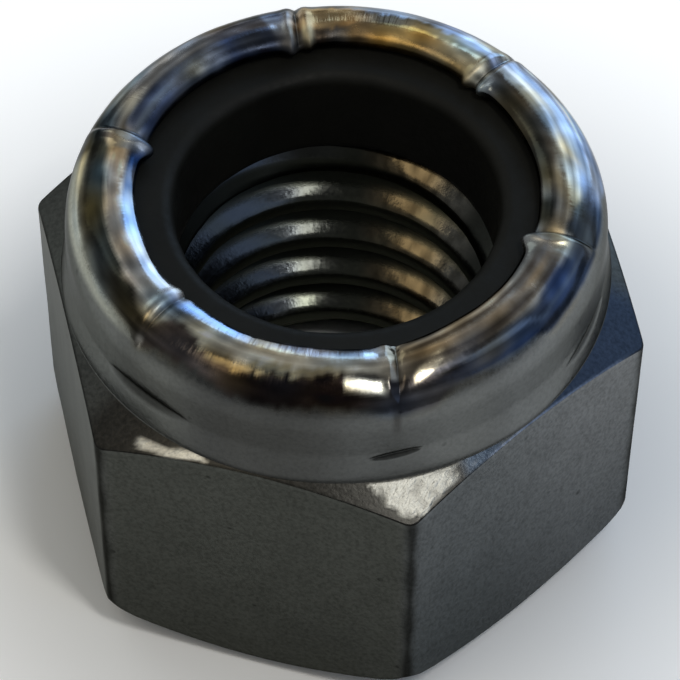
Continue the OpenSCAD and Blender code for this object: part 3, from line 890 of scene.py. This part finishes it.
FLOOR_HALF = 0.6
# The floor's glow grows from nothing to its full strength between these distances from the middle, which paints the
# floor darker round the nut, as shade.
GLOW_START, GLOW_END, GLOW = 0.007, 0.020, 0.44
# Distance of the lamps, and the height of the point that they face
LAMP_DISTANCE, LAMP_AIM = 0.30, 0.006
CAMERA_AT = (0.016265, -0.054741, 0.078307)
CAMERA_RIGHT, CAMERA_UP = (0.95753, 0.28830, 0.00438), (-0.22969, 0.75350, 0.61602)
CAMERA_BACK = (0.17430, -0.59087, 0.78772)


def floor():
    """A pale floor, a little brighter to the camera and in reflections, but not near the nut, where its glow is left
    out as painted shade.
    """
    mesh = bpy.data.meshes.new("floor")
    corners = [(x * FLOOR_HALF, y * FLOOR_HALF, 0) for x, y in ((-1, -1), (1, -1), (1, 1), (-1, 1))]
    mesh.from_pydata(corners, [], [(0, 1, 2, 3)])
    obj = bpy.data.objects.new("floor", mesh)
    bpy.context.scene.collection.objects.link(obj)
    mat = bpy.data.materials.new("pale_floor")
    mat.use_nodes = True
    t = mat.node_tree
    bsdf = t.nodes["Principled BSDF"]
    bsdf.inputs["Base Color"].default_value = (0.88, 0.88, 0.88, 1)
    bsdf.inputs["Roughness"].default_value = 0.9
    bsdf.inputs["Specular IOR Level"].default_value = 0.1
    bsdf.inputs["Emission Color"].default_value = (1, 1, 1, 1)
    path = node(t, "ShaderNodeLightPath", (-1200, -300))
    place = node(t, "ShaderNodeTexCoord", (-1200, -700))
    away = node(t, "ShaderNodeVectorMath", (-1000, -700), operation="LENGTH")
    t.links.new(place.outputs["Object"], away.inputs[0])
    # No glow near the nut: painted shade round it
    glow_ramp = map_range(t, (-800, -700), away.outputs["Value"], GLOW_START, GLOW_END, 0.0, GLOW,
                      interpolation_type="SMOOTHSTEP")
    seen = path.outputs["Is Camera Ray"]
    for i, other in enumerate(("Is Glossy Ray", "Is Transmission Ray")):
        most = node(t, "ShaderNodeMath", (-1000 + 200 * i, -300), operation="MAXIMUM")
        t.links.new(seen, most.inputs[0])
        t.links.new(path.outputs[other], most.inputs[1])
        seen = most.outputs[0]
    glow = node(t, "ShaderNodeMath", (-400, -400), operation="MULTIPLY")
    t.links.new(seen, glow.inputs[0])
    t.links.new(glow_ramp, glow.inputs[1])
    t.links.new(glow.outputs[0], bsdf.inputs["Emission Strength"])
    mesh.materials.append(mat)


def softbox(name, azimuth, elevation, width, height, radiance, colour):
    a, e = math.radians(azimuth), math.radians(elevation)
    way = Vector((math.cos(a) * math.cos(e), math.sin(a) * math.cos(e), math.sin(e)))
    light = bpy.data.lights.new(name, "AREA")
    light.shape, light.size, light.size_y = "RECTANGLE", width, height
    light.energy = radiance * math.pi * width * height
    light.color = colour
    obj = bpy.data.objects.new(name, light)
    obj.location = way * LAMP_DISTANCE + Vector((0, 0, LAMP_AIM))
    obj.rotation_mode = "QUATERNION"
    obj.rotation_quaternion = way.to_track_quat("Z", "Y")
    bpy.context.scene.collection.objects.link(obj)


floor()
softbox("key", -31.5, 65.5, 0.031, 0.080, 27.0, (1.0, 0.98, 0.92))
softbox("window_behind", 80, 22, 0.24, 0.27, 1.6, (0.50, 0.72, 1.0))
softbox("sky_right", 12, 36, 0.34, 0.24, 0.50, (0.46, 0.66, 1.0))
softbox("warm_left", -134, 61, 0.090, 0.11, 2.4, (1.0, 0.88, 0.66))
softbox("fill_back_left", 150, 34, 0.16, 0.16, 0.6, (0.92, 1.0, 0.92))

world = bpy.data.worlds.new("studio")
bpy.context.scene.world = world
world.use_nodes = True
world.node_tree.nodes["Background"].inputs["Color"].default_value = (0.97, 0.99, 1.0, 1)
world.node_tree.nodes["Background"].inputs["Strength"].default_value = 0.30

camera = bpy.data.cameras.new("camera")
camera.lens, camera.sensor_width = 184.67, 36.0
camera.clip_start, camera.clip_end = 0.005, 10.0
camera_obj = bpy.data.objects.new("camera", camera)
camera_obj.matrix_world = Matrix([(CAMERA_RIGHT[i], CAMERA_UP[i], CAMERA_BACK[i], CAMERA_AT[i]) for i in range(3)]
                                 + [(0, 0, 0, 1)])
bpy.context.scene.collection.objects.link(camera_obj)
bpy.context.scene.camera = camera_obj
bpy.context.scene.view_settings.view_transform = "Standard"
